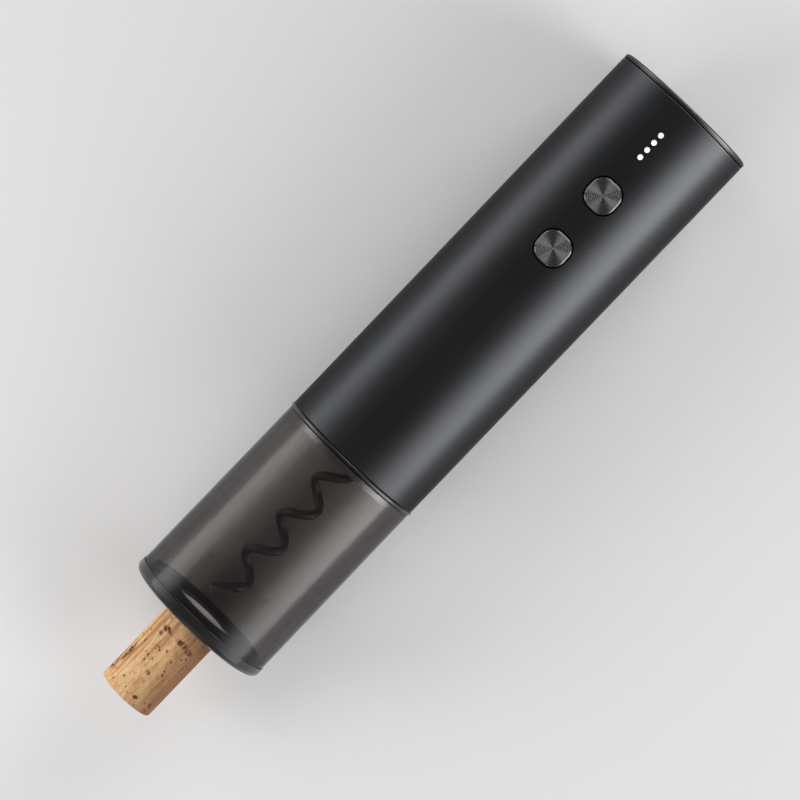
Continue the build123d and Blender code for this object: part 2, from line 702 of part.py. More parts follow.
def make_gearbox_screws():
    """Long screws that clamp the gearbox from its front plate to the motor's plate."""
    return [make_screw(housing_bottom, motor_bottom, x, y) for x, y in screw_places()]


def make_motor_screws():
    """Screws from the motor's plate into the motor's front face."""
    tip = motor_bottom + MOTOR_FACE
    return [make_screw(motor_plate_bottom, tip, x, y) for x, y in motor_screw_places()]


# ================================================================ motor
def make_motor_can():
    """Drawn steel cup of the motor with its bearing boss."""
    can = post(MOTOR_RADIUS, motor_bottom, motor_top)
    can += post(MOTOR_BOSS_RADIUS, motor_bottom - MOTOR_BOSS_HEIGHT, motor_bottom)
    face_top = motor_bottom + MOTOR_FACE
    can -= pocket(MOTOR_RADIUS - MOTOR_CAN_WALL, face_top, motor_top)
    can -= through(MOTOR_SHAFT_RADIUS + SHAFT_FIT, motor_bottom - MOTOR_BOSS_HEIGHT, face_top)
    for x, y in motor_screw_places():
        can -= through(SCREW_RADIUS + SHAFT_FIT, motor_bottom, face_top, x, y)
    return can


def make_motor_end_cap():
    """Moulded end of the motor with the rear bearing."""
    radius = MOTOR_RADIUS - MOTOR_CAN_WALL - SHAFT_FIT
    bottom = motor_top - MOTOR_CAP_HEIGHT
    bearing_top = bottom + MOTOR_CAP_HEIGHT / 2 + RUNNING_GAP
    return post(radius, bottom, motor_top) - pocket(MOTOR_SHAFT_RADIUS + SHAFT_FIT, bearing_top, bottom)


def make_motor_terminals():
    """Two solder tabs on the motor's end."""
    middle = motor_top + TERMINAL_HEIGHT / 2
    size = (TERMINAL_WIDTH, TERMINAL_THICKNESS, TERMINAL_HEIGHT)
    return [block(*size, side * TERMINAL_SPACING / 2, 0, middle) for side in (-1, 1)]


def make_motor_magnets():
    """Two curved field magnets inside the can."""
    outer = MOTOR_RADIUS - MOTOR_CAN_WALL - SHAFT_FIT
    bottom = motor_bottom + MOTOR_FACE + 2 * RUNNING_GAP
    magnet = tube(outer, outer - MAGNET_THICKNESS, bottom, bottom + ARMATURE_LENGTH)
    half = MAGNET_ARC / 2
    reach = 2 * MOTOR_RADIUS
    wedge = Polygon((0, 0), polar(reach, -half), (reach, 0), polar(reach, half), align=None)
    keep = Pos(0, 0, bottom) * extrude(wedge, ARMATURE_LENGTH)
    right = magnet & keep
    return [right, Rot(0, 0, 180) * right]


def make_motor_armature():
    """Wound rotor and commutator on the motor's shaft."""
    bottom = motor_bottom + MOTOR_FACE + 2 * RUNNING_GAP
    commutator_bottom = bottom + ARMATURE_LENGTH + RUNNING_GAP
    shaft_top = motor_top - MOTOR_CAP_HEIGHT / 2
    rotor = post(MOTOR_SHAFT_RADIUS, stage_one_gears, shaft_top)
    rotor += post(ARMATURE_RADIUS, bottom, bottom + ARMATURE_LENGTH)
    rotor += post(COMMUTATOR_RADIUS, commutator_bottom, commutator_bottom + COMMUTATOR_LENGTH)
    return rotor


def make_motor_pinion():
    """The motor's pinion, the first stage's sun gear."""
    pinion = make_gear(SUN_TEETH, PLANET_WIDTH)
    pinion -= through(MOTOR_SHAFT_RADIUS + SHAFT_FIT, 0, PLANET_WIDTH)
    return Pos(0, 0, stage_one_gears) * pinion


# ================================================================ chassis, battery and boards
def chassis_screw_places():
    """Places of the chassis screws: (x, z)."""
    bottom = chassis_bottom + CHASSIS_BOSS_INSET
    top = charge_shelf - CHASSIS_BOSS_INSET
    return [(x, z) for z in (bottom, (bottom + top) / 2, top) for x in (-boss_offset, boss_offset)]


def chassis_half(side):
    """Half shell with saddles for the motor; side is +1 for the rear half, -1 for the front."""
    shell = tube(chassis_radius, chassis_bore, chassis_bottom, chassis_top)
    for bottom in (motor_bottom + SADDLE_INSET, motor_top - SADDLE_INSET - RIB_THICKNESS):
        outer = chassis_bore + CHASSIS_WALL / 2
        shell += tube(outer, MOTOR_RADIUS + SLIP_FIT, bottom, bottom + RIB_THICKNESS)
    return cut_half(shell, side)


def cut_half(shape, side):
    """Keep what lies behind (+1) or in front of (-1) the parting plane."""
    span = 4 * BODY_RADIUS
    height = 2 * body_top
    keep = block(span, span, height, 0, side * (span + PARTING_GAP) / 2, body_top / 2)
    return shape & keep


def make_rear_chassis():
    """Rear half: battery shelf and saddles, the charging board's shelf and the screws' pilots."""
    half = chassis_half(1)
    saddle = chassis_bore + CHASSIS_WALL / 2
    shelves = post(saddle, battery_shelf, battery_shelf + RIB_THICKNESS)
    shelves += post(saddle, charge_shelf, charge_shelf + RIB_THICKNESS)
    for bottom in (battery_bottom + BATTERY_LENGTH / 4, battery_bottom + 3 * BATTERY_LENGTH / 4):
        top = bottom + RIB_THICKNESS
        cell = through(BATTERY_RADIUS + BATTERY_GAP, bottom, top, 0, battery_offset)
        shelves += post(saddle, bottom, top) - cell
    half += cut_half(shelves, 1)
    for x, z in chassis_screw_places():
        half += rod(CHASSIS_BOSS_RADIUS, PARTING_GAP / 2, boss_reach, x, z)
        half -= rod(SCREW_RADIUS, 0, CHASSIS_SCREW_LENGTH - boss_reach / 2, x, z)
    port = Rectangle(USB_WIDTH + 2 * SLIP_FIT, USB_HEIGHT + 2 * SLIP_FIT)
    return half - prism(port, -BODY_RADIUS, SLIP_FIT - usb_mouth + USB_LENGTH, 0, usb_height)


def make_front_chassis():
    """Front half: a window for the buttons and lights, standoffs for the board, screw bosses."""
    half = chassis_half(-1)
    window_bottom = min(button_heights.values()) - WINDOW_WIDTH / 2
    window_top = board_top - BOARD_SCREW_INSET
    window = RectangleRounded(WINDOW_WIDTH, window_top - window_bottom, BUTTON_CORNER)
    half -= prism(window, board_depth, BODY_RADIUS, 0, (window_bottom + window_top) / 2)
    for x, z in board_screw_places():
        half += rod(STANDOFF_RADIUS, -board_depth - STANDOFF_LENGTH, -board_depth, x, z)
        half -= rod(SCREW_RADIUS, -board_depth - STANDOFF_LENGTH / 2 - SLIP_FIT, 0, x, z)
    for x, z in chassis_screw_places():
        half += rod(CHASSIS_BOSS_RADIUS, -boss_reach, -PARTING_GAP / 2, x, z)
        half -= rod(SCREW_RADIUS + SHAFT_FIT, -boss_reach - OVERCUT, 0, x, z)
        half -= rod(SCREW_HEAD_RADIUS + SHAFT_FIT, -BODY_RADIUS, -boss_reach, x, z)
    return half


def make_y_screw(head, x, z, length, direction=1):
    """Screw along Y; its head's seat is at Y = head and its shank runs in the given direction."""
    head_back = head - direction * SCREW_HEAD_HEIGHT
    tip = head + direction * length
    body = rod(SCREW_RADIUS - SHAFT_FIT, min(head, tip), max(head, tip), x, z)
    return body + rod(SCREW_HEAD_RADIUS, min(head, head_back), max(head, head_back), x, z)


def make_chassis_screws():
    """Screws that join the chassis halves."""
    length = CHASSIS_SCREW_LENGTH
    return [make_y_screw(-boss_reach, x, z, length) for x, z in chassis_screw_places()]


def board_screw_places():
    """Places of the control board's screws: (x, z)."""
    sides = (-STANDOFF_SPACING / 2, STANDOFF_SPACING / 2)
    heights = (board_bottom + BOARD_SCREW_INSET, board_top - BOARD_SCREW_INSET)
    return [(x, z) for z in heights for x in sides]


def make_board_screws():
    """Screws that hold the control board to the front chassis, heads behind the board."""
    seat = -board_depth + BOARD_THICKNESS
    length = BOARD_THICKNESS + STANDOFF_LENGTH / 2
    return [make_y_screw(seat, x, z, length, -1) for x, z in board_screw_places()]


def make_control_board():
    """Printed circuit board behind the buttons."""
    middle = (board_bottom + board_top) / 2
    board = prism(Rectangle(BOARD_WIDTH, BOARD_LENGTH), board_depth - BOARD_THICKNESS, board_depth, 0, middle)
    for x, z in board_screw_places():
        board -= rod(SCREW_RADIUS, -BODY_RADIUS, 0, x, z)
    return board


def make_tact_switches():
    """Tactile switches, one behind each button."""
    switches = []
    for height in button_heights.values():
        body_front = board_depth + SWITCH_BODY_HEIGHT
        body = prism(Rectangle(SWITCH_SIZE, SWITCH_SIZE), board_depth, body_front, 0, height)
        switches.append(body + rod(SWITCH_PLUNGER_RADIUS, -switch_tip, -body_front, 0, height))
    return switches


def make_indicator_leds():
    """Chip LEDs on the board, one behind each pin of the light pipe."""
    chip = Rectangle(LED_WIDTH, LED_LENGTH)
    return [prism(chip, board_depth, board_depth + LED_HEIGHT, 0, z) for z in light_heights()]


def make_board_components():
    """Controller, motor driver, coil and plug on the back of the control board."""
    back = board_depth - BOARD_THICKNESS
    driver = (DRIVER_WIDTH, DRIVER_LENGTH, DRIVER_HEIGHT)
    parts = (
        (CHIP_SIZE, CHIP_SIZE, CHIP_HEIGHT, 0, CHIP_PLACE),
        (*driver, -DRIVER_SPACING / 2, DRIVER_PLACE),
        (*driver, DRIVER_SPACING / 2, DRIVER_PLACE),
        (COIL_SIZE, COIL_SIZE, COIL_HEIGHT, 0, COIL_PLACE),
        (PLUG_WIDTH, PLUG_LENGTH, PLUG_HEIGHT, 0, PLUG_PLACE),
    )
    return [prism(Rectangle(w, h), back - d, back, x, board_bottom + z) for w, h, d, x, z in parts]


def make_battery_cell():
    """Cylindrical lithium cell with its raised positive end."""
    cell = post(BATTERY_RADIUS, battery_bottom, battery_top, 0, battery_offset)
    cell = chamfer(cell.edges().filter_by(GeomType.CIRCLE), BATTERY_EDGE)
    nub_top = battery_top + BATTERY_NUB_HEIGHT
    return cell + post(BATTERY_NUB_RADIUS, battery_top, nub_top, 0, battery_offset)


def make_battery_tabs():
    """Nickel strips welded to the cell's ends."""
    depth = BATTERY_RADIUS + BATTERY_NUB_RADIUS
    y = battery_offset + BATTERY_NUB_RADIUS - depth / 2
    lower = block(TAB_WIDTH, depth, TAB_THICKNESS, 0, y, battery_bottom - TAB_THICKNESS / 2)
    upper_middle = battery_top + BATTERY_NUB_HEIGHT + TAB_THICKNESS / 2
    return [lower, block(TAB_WIDTH, depth, TAB_THICKNESS, 0, y, upper_middle)]


def make_lead(place, x, y, end, rise):
    """Wire from a soldered end up or down to its knee, then forward and into the plug."""
    plug_x = place * LEAD_SPACING
    plug_height = board_bottom + PLUG_PLACE
    plug_back = board_depth - BOARD_THICKNESS - PLUG_HEIGHT - SHAFT_FIT
    path = FilletPolyline(
        (x, y, end),
        (x, y, end + rise * LEAD_KNEE),
        (plug_x, -LEAD_DEPTH, plug_height),
        (plug_x, -plug_back, plug_height),
        radius=LEAD_BEND,
    )
    return sweep(wire_section(path, 0, LEAD_RADIUS), path, transition=Transition.ROUND)


def make_motor_leads():
    """Wires from the motor's terminals to the plug."""
    y = -TERMINAL_THICKNESS / 2 - LEAD_RADIUS - SHAFT_FIT
    x = TERMINAL_SPACING / 2
    end = motor_top + RUNNING_GAP
    return [make_lead(1.5 * side, x * side, y, end, 1) for side in (-1, 1)]


def make_battery_leads():
    """Wires from the cell's tabs to the plug."""
    y = battery_offset - BATTERY_RADIUS - LEAD_RADIUS - SHAFT_FIT
    x = LEAD_SPACING / 2
    lower = battery_bottom - TAB_THICKNESS + SHAFT_FIT
    return [make_lead(-0.5, -x, y, lower, 1), make_lead(0.5, x, y, charge_shelf - SHAFT_FIT, -1)]


def make_charging_board():
    """Round board on the rear chassis's upper shelf, cut straight at the front."""
    disc = post(charge_board_radius, charge_board_bottom, usb_bottom)
    span = 4 * BODY_RADIUS
    return disc & block(span, span, span, 0, span / 2 - CHARGE_BOARD_FRONT, usb_bottom)


def make_usb_socket():
    """USB-C socket on the charging board, its mouth in the housing's slot at the back."""
    start = usb_mouth - USB_LENGTH
    shell = SlotOverall(USB_WIDTH, USB_HEIGHT)
    mouth = SlotOverall(USB_WIDTH - 2 * USB_WALL, USB_HEIGHT - 2 * USB_WALL)
    socket = prism(shell, -usb_mouth, -start, 0, usb_height)
    floor = start + USB_BACK_WALL
    socket -= prism(mouth, -usb_mouth - OVERCUT, -floor, 0, usb_height)
    tongue = Rectangle(USB_TONGUE_WIDTH, USB_TONGUE_THICKNESS)
    return socket + prism(tongue, -usb_mouth + USB_TONGUE_SETBACK, -floor + USB_WALL, 0, usb_height)


# ================================================================ write the nodes
os.makedirs("parts", exist_ok=True)

export("top_cap", make_top_cap())
export("main_housing", make_main_housing())
export("sleeve_collar", make_sleeve_collar())
export("clear_sleeve", make_clear_sleeve())
export("base_ring", make_base_ring())
export("bottle_stop", make_bottle_stop())
export("cork_guide", make_cork_guide())

export("worm", make_worm())
export("worm_hub", make_worm_hub())
export("cork", make_cork())

for place, button_height in button_heights.items():
    export(f"{place}_button", make_button(button_height))
export("indicator_light_pipe", make_indicator_light_pipe())

export("gearbox_front_plate", make_gearbox_front_plate())
export("output_bearing", make_output_bearing())
export("output_shaft", make_output_shaft())
export("ring_gear", make_ring_gear())
export("stage_one_carrier", make_stage_one_carrier())
export("stage_two_carrier", make_carrier(stage_two_base, OUTPUT_SHAFT_RADIUS + SHAFT_FIT))
export("stage_one_planet_pins", *make_planet_pins(stage_one_base))
export("stage_two_planet_pins", *make_planet_pins(stage_two_base))
for number, planet_angle in enumerate(planet_angles(), start=1):
    export(f"stage_one_planet_{number}", make_planet(planet_angle, stage_one_gears))
    export(f"stage_two_planet_{number}", make_planet(planet_angle, stage_two_gears))
export("motor_plate", make_motor_plate())
export("gearbox_screws", *make_gearbox_screws())
export("motor_screws", *make_motor_screws())

export("motor_can", make_motor_can())
export("motor_end_cap", make_motor_end_cap())
export("motor_terminals", *make_motor_terminals())
export("motor_magnets", *make_motor_magnets())
export("motor_armature", make_motor_armature())
export("motor_pinion", make_motor_pinion())

export("rear_chassis", make_rear_chassis())
export("front_chassis", make_front_chassis())
export("chassis_screws", *make_chassis_screws())
export("battery_cell", make_battery_cell())
export("battery_tabs", *make_battery_tabs())
export("control_board", make_control_board())
export("board_screws", *make_board_screws())
export("tact_switches", *make_tact_switches())
export("indicator_leds", *make_indicator_leds())
export("board_components", *make_board_components())
export("motor_leads", *make_motor_leads())
export("battery_leads", *make_battery_leads())
export("charging_board", make_charging_board())
export("usb_socket", make_usb_socket())
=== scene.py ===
"""Looks of the electric wine opener: materials, floor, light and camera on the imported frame."""
import math

import bpy
from mathutils import Matrix, Vector


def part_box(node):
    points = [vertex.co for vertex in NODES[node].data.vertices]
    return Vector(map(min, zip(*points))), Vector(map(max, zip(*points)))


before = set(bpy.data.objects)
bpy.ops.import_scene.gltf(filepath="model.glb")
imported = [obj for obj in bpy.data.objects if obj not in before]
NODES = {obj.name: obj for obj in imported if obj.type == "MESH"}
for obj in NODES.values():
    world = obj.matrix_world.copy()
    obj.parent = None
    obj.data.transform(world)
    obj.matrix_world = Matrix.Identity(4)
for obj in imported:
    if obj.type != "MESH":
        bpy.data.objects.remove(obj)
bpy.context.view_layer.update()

# Lengths are in metres.
AXIS_HEIGHT = 0.0255  # of the opener's axis above the floor
CAP_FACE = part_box("top_cap")[1].x
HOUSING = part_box("main_housing")
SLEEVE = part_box("clear_sleeve")
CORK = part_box("cork")
TUBE_RADIUS = HOUSING[1].z - AXIS_HEIGHT
CORK_RADIUS = (CORK[1].y - CORK[0].y) / 2
# Worst crevices of the cork: distance from its free end, side, reach along it and across it.
CREVICES = (
    (0.0116, 0.0085, 0.0042, 0.0017),
    (0.0062, 0.0092, 0.0035, 0.0014),
    (0.0252, -0.002, 0.0012, 0.0026),
    (0.0245, -0.0052, 0.0012, 0.0018),
    (0.0255, 0.0046, 0.0013, 0.0022),
    (0.003, -0.0078, 0.0022, 0.0012),
)
LIGHT_PITCH = 0.003
FIRST_LIGHT_X = CAP_FACE - 0.0195  # of the white light next to the cap
LIGHT_CORE = 0.00062  # radius that glows in full
LIGHT_RIM = 0.00088  # radius at which the glow has faded
COIL_RADIUS = 0.0068  # the armature's copper starts outside this
FLOOR_HALF = 4.0

TUBE_TONE = ((0.044, 0.045, 0.047), (0.058, 0.059, 0.061))
SHADOW_TONE = (0.004, 0.004, 0.004)  # painted shade in the seams
PIT_TONE = (0.09, 0.036, 0.012)  # dust in the cork's pits
WORLD_TONE = (0.17, 0.17, 0.173, 1.0)


# ------------------------------------------------------------------ node helper
class Shade:
    """A material's node tree, with a short call for each kind of node used here."""

    def __init__(self, name):
        self.material = bpy.data.materials.new(name)
        self.material.use_nodes = True
        self.tree = self.material.node_tree
        self.tree.nodes.clear()
        self.out = self.add("ShaderNodeOutputMaterial")
        self.place = self.add("ShaderNodeTexCoord").outputs["Object"]

    def add(self, kind, **settings):
        node = self.tree.nodes.new(kind)
        for key, value in settings.items():
            setattr(node, key, value)
        return node

    def put(self, socket, value):
        """Link another node's socket, or set a plain value."""
        if isinstance(value, bpy.types.NodeSocket):
            self.tree.links.new(value, socket)
        elif socket.type == "RGBA" and len(value) == 3:
            socket.default_value = (*value, 1.0)
        else:
            socket.default_value = value

    def math(self, operation, *values):
        node = self.add("ShaderNodeMath", operation=operation)
        for i, value in enumerate(values):
            self.put(node.inputs[i], value)
        return node.outputs[0]

    def vector(self, operation, *values):
        node = self.add("ShaderNodeVectorMath", operation=operation)
        for i, value in enumerate(values):
            self.put(node.inputs[i], value)
        return node.outputs["Value" if operation in ("LENGTH", "DOT_PRODUCT") else "Vector"]

    def stretched(self, x, y, z, offset=(0, 0, 0), vector=None):
        """The coordinates moved by the offset, then scaled along each axis."""
        moved = self.vector("SUBTRACT", vector or self.place, offset)
        return self.vector("MULTIPLY", moved, (x, y, z))

    def split(self, vector=None):
        node = self.add("ShaderNodeSeparateXYZ")
        self.put(node.inputs[0], vector or self.place)
        return node.outputs

    def join(self, x, y, z):
        node = self.add("ShaderNodeCombineXYZ")
        for i, value in enumerate((x, y, z)):
            self.put(node.inputs[i], value)
        return node.outputs[0]

    def noise(self, scale, detail=2.0, roughness=0.5, vector=None):
        node = self.add("ShaderNodeTexNoise")
        self.put(node.inputs["Vector"], vector or self.place)
        self.put(node.inputs["Scale"], scale)
        self.put(node.inputs["Detail"], detail)
        self.put(node.inputs["Roughness"], roughness)
        return node.outputs[0]

    def voronoi(self, scale, vector=None):
        node = self.add("ShaderNodeTexVoronoi")
        self.put(node.inputs["Vector"], vector or self.place)
        self.put(node.inputs["Scale"], scale)
        return node.outputs["Distance"]

    def wave(self, scale, vector=None, kind="BANDS"):
        """Bands across X, or rings round Z."""
        node = self.add("ShaderNodeTexWave", wave_type=kind, bands_direction="X", rings_direction="Z")
        self.put(node.inputs["Vector"], vector or self.place)
        self.put(node.inputs["Scale"], scale)
        return node.outputs["Fac"]

    def fit(self, value, low, high, to_low=0.0, to_high=1.0, smooth=False):
        """The value's place from low to high, held to that span, as a number from to_low to to_high."""
        node = self.add("ShaderNodeMapRange", interpolation_type="SMOOTHSTEP" if smooth else "LINEAR")
        for i, number in enumerate((value, low, high, to_low, to_high)):
            self.put(node.inputs[i], number)
        return node.outputs[0]

    def mix(self, share, first, second):
        """One colour into another; the numbers are the colour sockets of the Mix node."""
        node = self.add("ShaderNodeMix", data_type="RGBA", blend_type="MIX", clamp_result=True)
        self.put(node.inputs["Factor"], share)
        self.put(node.inputs[6], first)
        self.put(node.inputs[7], second)
        return node.outputs[2]

    def bump(self, height, distance, strength):
        node = self.add("ShaderNodeBump")
        self.put(node.inputs["Height"], height)
        self.put(node.inputs["Distance"], distance)
        self.put(node.inputs["Strength"], strength)
        return node.outputs[0]

    def radius(self):
        """Distance from the opener's axis."""
        _, y, z = self.split()
        return self.vector("LENGTH", self.join(0.0, y, self.math("SUBTRACT", z, AXIS_HEIGHT)))

    def seam(self):
        """1 in the shadow lines cut below the tube's surface, which are painted dark as shade."""
        low = self.fit(self.radius(), TUBE_RADIUS - 0.0004, TUBE_RADIUS - 0.0002, 1.0, 0.0)
        return self.math("MULTIPLY", low, self.math("LESS_THAN", self.split()[0], CAP_FACE - 0.0008))

    def surface(self, **sockets):
        node = self.add("ShaderNodeBsdfPrincipled")
        for key, value in sockets.items():
            self.put(node.inputs[key.replace("_", " ")], value)
        self.tree.links.new(node.outputs[0], self.out.inputs["Surface"])
        return node


def dress(shade, *names):
    """Give the named CAD nodes this material."""
    for name in names:
        node = NODES[name]
        if not node.material_slots:
            node.data.materials.append(shade.material)
        for slot in node.material_slots:
            slot.material = shade.material


# ------------------------------------------------------------------ metals outside
def blasted_aluminium():
    """Bead-blasted, dark grey anodised tube: fine grain, and its end edges and the cap's bevel painted
    brighter as a highlight.
    """
    s = Shade("blasted_aluminium")
    x = s.split()[0]
    grain = s.noise(5200, 2.0)
    cloud = s.noise(28, 3.0)
    tone = s.mix(s.fit(grain, 0.3, 0.7), *TUBE_TONE)
    tone = s.mix(s.fit(cloud, 0.3, 0.7, 0.0, 0.35), tone, (0.058, 0.059, 0.062))
    # painted highlight: brighter tone on the housing's ends and on the cap's bevel
    foot = s.fit(x, HOUSING[0].x, HOUSING[0].x + 0.0003, 1.0, 0.0, True)
    head = s.fit(x, CAP_FACE - 0.0012, CAP_FACE - 0.0005, 0.0, 0.8, True)
    head = s.math("MULTIPLY", head, s.fit(s.radius(), TUBE_RADIUS - 0.0022, TUBE_RADIUS - 0.0018, 0.35, 1.0))
    top = s.fit(x, HOUSING[1].x - 0.0004, HOUSING[1].x - 0.0001, 0.0, 1.0, True)
    top = s.math("MULTIPLY", top, s.math("LESS_THAN", x, HOUSING[1].x + 0.00001))
    edge_highlight = s.math("MAXIMUM", s.math("MAXIMUM", foot, head), top)
    tone = s.mix(s.math("MULTIPLY", edge_highlight, 0.5), tone, (0.2, 0.2, 0.205))
    # painted shade: the seams below the tube's surface are painted dark
    tone = s.mix(s.seam(), tone, SHADOW_TONE)
    s.surface(
        Base_Color=tone,
        Metallic=1.0,
        Roughness=s.fit(cloud, 0.3, 0.7, 0.36, 0.4),
        Specular_Tint=(0.5, 0.5, 0.5),
        Normal=s.bump(grain, 0.000012, 0.5),
    )
    return s


def collar_metal():
    """The collar: anodised and finely turned, brighter than the housing."""
    s = Shade("turned_collar")
    rings = s.wave(900)
    grain = s.noise(4000, 2.0)
    tone = s.mix(s.fit(grain, 0.3, 0.7), (0.06, 0.061, 0.063), (0.085, 0.086, 0.088))
    inside = s.fit(s.split()[0], SLEEVE[1].x - 0.0001, SLEEVE[1].x, 1.0, 0.0)
    # painted shade: the seams below the tube's surface are painted dark
    tone = s.mix(s.seam(), tone, SHADOW_TONE)
    tone = s.mix(inside, tone, (0.4, 0.39, 0.38))
    height = s.math("ADD", rings, s.math("MULTIPLY", grain, 0.6))
    s.surface(
        Base_Color=tone,
        Metallic=1.0,
        Roughness=s.fit(grain, 0.2, 0.8, 0.24, 0.32),
        Normal=s.bump(height, 0.000006, 0.4),
    )
    return s


def spun_button(node):
    """Dark metal spun on a lathe: concentric rings round the button's centre, bright bevelled rim."""
    s = Shade("spun_" + node)
    low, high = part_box(node)
    centre = (low + high) / 2
    face = high.z
    flat = s.stretched(1, 1, 0, (centre.x, centre.y, face))
    radius = s.vector("LENGTH", flat)
    rings = s.wave(560, flat, "RINGS")
    fine = s.noise(1.0, 2.0, vector=s.join(s.math("MULTIPLY", radius, 9000), 0.0, 0.0))
    depth = s.math("SUBTRACT", face, s.split()[2])
    rim = s.fit(depth, 0.00002, 0.00008, 0.0, 1.0, True)
    tone = s.mix(s.fit(fine, 0.3, 0.7), (0.14, 0.14, 0.144), (0.45, 0.45, 0.46))
    tone = s.mix(s.fit(rings, 0.0, 0.5, 0.6, 0.0), tone, (0.03, 0.03, 0.031))
    tone = s.mix(rim, tone, (0.15, 0.15, 0.153))
    # painted shade: the button's sides down in the gap round it are painted dark
    shank_shade = s.fit(depth, 0.0006, 0.0008, 0.0, 1.0, True)
    tone = s.mix(shank_shade, tone, (0.035, 0.035, 0.036))
    height = s.math("ADD", rings, s.math("MULTIPLY", fine, 0.7))
    height = s.math("MULTIPLY", height, s.math("SUBTRACT", 1.0, rim))
    s.surface(
        Base_Color=tone,
        Metallic=1.0,
        Roughness=s.fit(rim, 0.0, 1.0, 0.57, 0.36),
        Anisotropic=1.0,
        Tangent=s.vector("NORMALIZE", flat),
        Normal=s.bump(height, 0.00004, 0.5),
    )
    return s


# ------------------------------------------------------------------ clear and moulded parts
def smoked(name, colour, density, clearness, polish, ior):
    """Smoked clear moulding, darker where the wall is seen on edge; lamps shine through it, tinted."""
    s = Shade(name)
    lines = s.noise(1.0, 2.0, vector=s.stretched(6, 900, 900))
    haze = s.noise(60, 3.0)
    glass = s.surface(
        Base_Color=clearness,
        Transmission_Weight=1.0,
        IOR=ior,
        Specular_IOR_Level=0.0,
        Roughness=s.fit(haze, 0.35, 0.7, 0.0, 0.015),
        Coat_Weight=s.fit(s.radius(), TUBE_RADIUS - 0.0008, TUBE_RADIUS - 0.0004, 0.0, polish),
        Coat_Roughness=0.2,
        Coat_IOR=2.0,
        Normal=s.bump(lines, 0.000004, 0.3),
    )
    clear = s.add("ShaderNodeBsdfTransparent")
    s.put(clear.inputs[0], (0.98, 0.98, 0.98))
    choice = s.add("ShaderNodeMixShader")
    s.put(choice.inputs[0], s.add("ShaderNodeLightPath").outputs["Is Shadow Ray"])
    s.put(choice.inputs[1], glass.outputs[0])
    s.put(choice.inputs[2], clear.outputs[0])
    s.put(s.out.inputs["Surface"], choice.outputs[0])
    smoke = s.add("ShaderNodeVolumeAbsorption")
    s.put(smoke.inputs["Color"], colour)
    s.put(smoke.inputs["Density"], density)
    s.put(s.out.inputs["Volume"], smoke.outputs[0])
    return s


def light_pipe():
    """Clear acrylic whose pins' outer ends glow white, with soft edges."""
    s = Shade("light_pipe")
    x, y, z = s.split()
    mottle = s.noise(900, 2.0)
    along = s.math("PINGPONG", s.math("SUBTRACT", x, FIRST_LIGHT_X), LIGHT_PITCH / 2)
    from_pin = s.vector("LENGTH", s.join(along, y, 0.0))
    glow = s.fit(z, HOUSING[1].z - 0.0012, HOUSING[1].z - 0.001, 0.0, 1.0, True)
    glow = s.math("MULTIPLY", glow, s.fit(from_pin, LIGHT_CORE, LIGHT_RIM, 1.0, 0.25, True))
    s.surface(
        Base_Color=s.mix(s.fit(mottle, 0.3, 0.7), (0.86, 0.88, 0.9), (0.95, 0.95, 0.95)),
        Roughness=s.fit(mottle, 0.3, 0.7, 0.1, 0.2),
        Emission_Color=s.mix(s.fit(mottle, 0.3, 0.7), (0.95, 0.97, 1.0), (1.0, 1.0, 1.0)),
        Emission_Strength=glow,
        Normal=s.bump(s.noise(1200, 1.0, vector=s.join(x, z, 0.0)), 0.00001, 0.3),
    )
    return s


def gloss_black():
    """Glossy dark moulding of the base ring, with a soft ripple from the mould and fine hairlines."""
    s = Shade("gloss_black")
    ripple = s.noise(90, 2.0)
    hair = s.noise(1.0, 3.0, vector=s.stretched(3000, 160, 160))
    tone = s.mix(s.fit(ripple, 0.3, 0.7), (0.01, 0.0102, 0.0106), (0.016, 0.0163, 0.017))
    s.surface(
        Base_Color=tone,
        Roughness=s.fit(hair, 0.3, 0.75, 0.2, 0.3),
        Specular_IOR_Level=0.42,
        Coat_Weight=0.15,
        Coat_Roughness=0.1,
        Normal=s.bump(s.math("ADD", s.math("MULTIPLY", ripple, 2.0), hair), 0.00001, 0.4),
    )
    return s


def moulded(name, dark, light, rough, grain=1800, depth=0.00002, **more):
    """Moulded plastic: fine texture from the mould and slow changes of tone."""
    s = Shade(name)
    pits = s.noise(grain, 2.0)
    cloud = s.noise(45, 3.0)
    tone = s.mix(s.fit(s.math("ADD", pits, cloud), 0.7, 1.3), dark, light)
    s.surface(
        Base_Color=tone,
        Roughness=s.fit(cloud, 0.3, 0.7, *rough),
        Normal=s.bump(pits, depth, 0.5),
        **more,
    )
    return s


def coated_worm():
    """Black non-stick coating over steel wire, worn thin towards the point."""
    s = Shade("coated_worm")
    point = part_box("worm")[0].x
    speck = s.noise(2600, 3.0)
    worn = s.fit(s.split()[0], point, point + 0.004, 1.0, 0.0, True)
    worn = s.math("MULTIPLY", worn, s.fit(s.noise(900, 3.0), 0.45, 0.6))
    tone = s.mix(s.fit(speck, 0.3, 0.7), (0.008, 0.0075, 0.0075), (0.02, 0.0185, 0.018))
    s.surface(
        Base_Color=s.mix(worn, tone, (0.3, 0.29, 0.28)),
        Metallic=worn,
        Roughness=s.fit(speck, 0.3, 0.7, 0.3, 0.42),
        Specular_IOR_Level=0.4,
        Normal=s.bump(speck, 0.00002, 0.4),
    )
    return s


